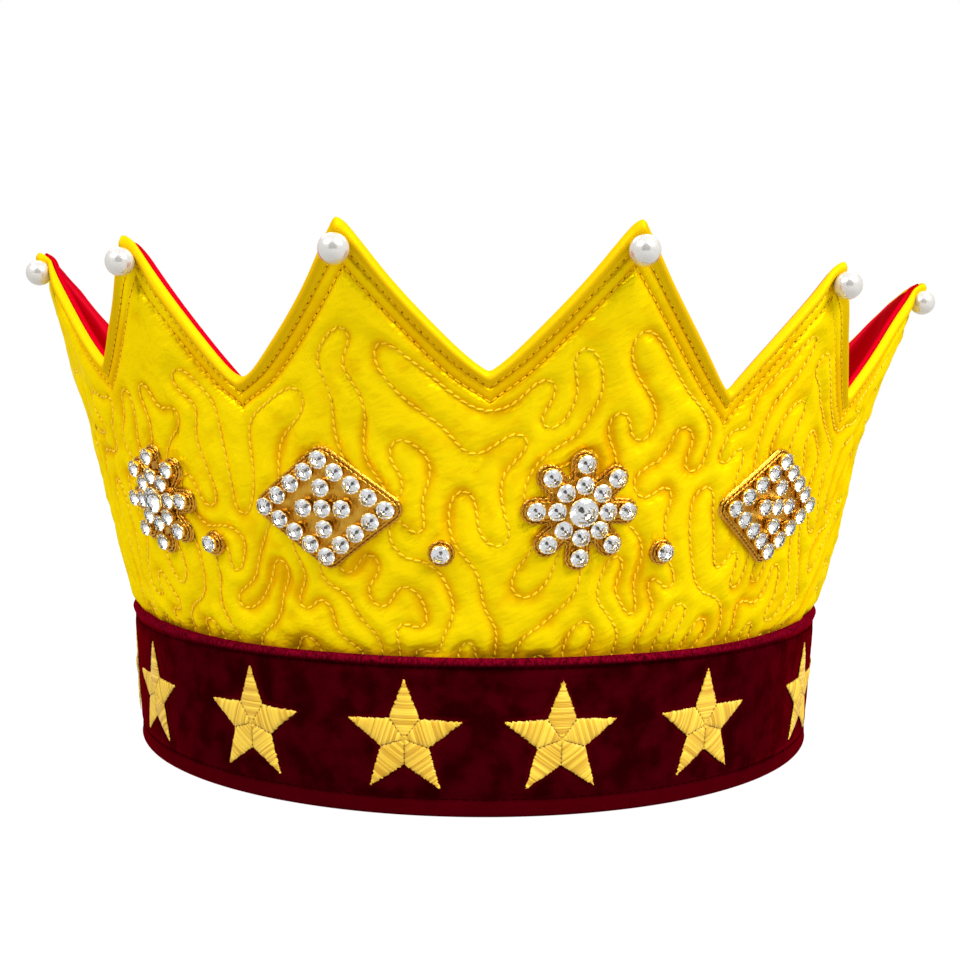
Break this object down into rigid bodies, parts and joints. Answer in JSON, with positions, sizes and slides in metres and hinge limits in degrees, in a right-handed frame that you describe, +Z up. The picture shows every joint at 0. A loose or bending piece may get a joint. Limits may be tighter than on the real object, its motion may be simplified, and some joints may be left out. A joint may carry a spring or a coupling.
{
  "type": "masonic crown",
  "caption": "Soft regalia crown: flared quilted satin wall with points in front and a low plain back, red lining, starred velvet band, pearls on the points and cut-stone ornaments.",
  "frame": {"origin": "centre of the crown's box, on the surface it stands on", "axes": "+Z up through the crown, -Y out of the front between the two middle points, +X to the right seen from the front"},
  "size_m": [0.2448, 0.24, 0.1316],
  "materials": {
    "velvet": "deep maroon velvet with a short pile",
    "satin": "yellow satin, padded and quilted in loops with orange-gold thread",
    "lining": "red lining satin",
    "embroidery": "gold satin-stitch embroidery",
    "pearl": "pearlescent white bead",
    "bullion": "twisted gold bullion wire on a cloth ground",
    "stone": "clear cut stone with a silvered back"
  },
  "bodies": {
    "root": {"velvet_band": "velvet", "satin_wall": "satin", "red_lining": "lining", "star_1": "embroidery", "star_2": "embroidery", "star_3": "embroidery", "star_4": "embroidery", "star_5": "embroidery", "star_6": "embroidery", "star_7": "embroidery", "star_8": "embroidery", "star_9": "embroidery", "star_10": "embroidery", "star_11": "embroidery", "star_12": "embroidery", "star_13": "embroidery", "star_14": "embroidery", "star_15": "embroidery", "star_16": "embroidery", "pearl_1": "pearl", "pearl_2": "pearl", "pearl_3": "pearl", "pearl_4": "pearl", "pearl_5": "pearl", "pearl_6": "pearl", "motif_1": "bullion", "motif_2": "bullion", "motif_3": "bullion", "motif_4": "bullion", "stones_1": "stone", "stones_2": "stone", "stones_3": "stone", "stones_4": "stone", "spacer_1": "bullion", "spacer_2": "bullion", "spacer_3": "bullion", "spacer_stone_1": "stone", "spacer_stone_2": "stone", "spacer_stone_3": "stone"}
  },
  "joints": []
}
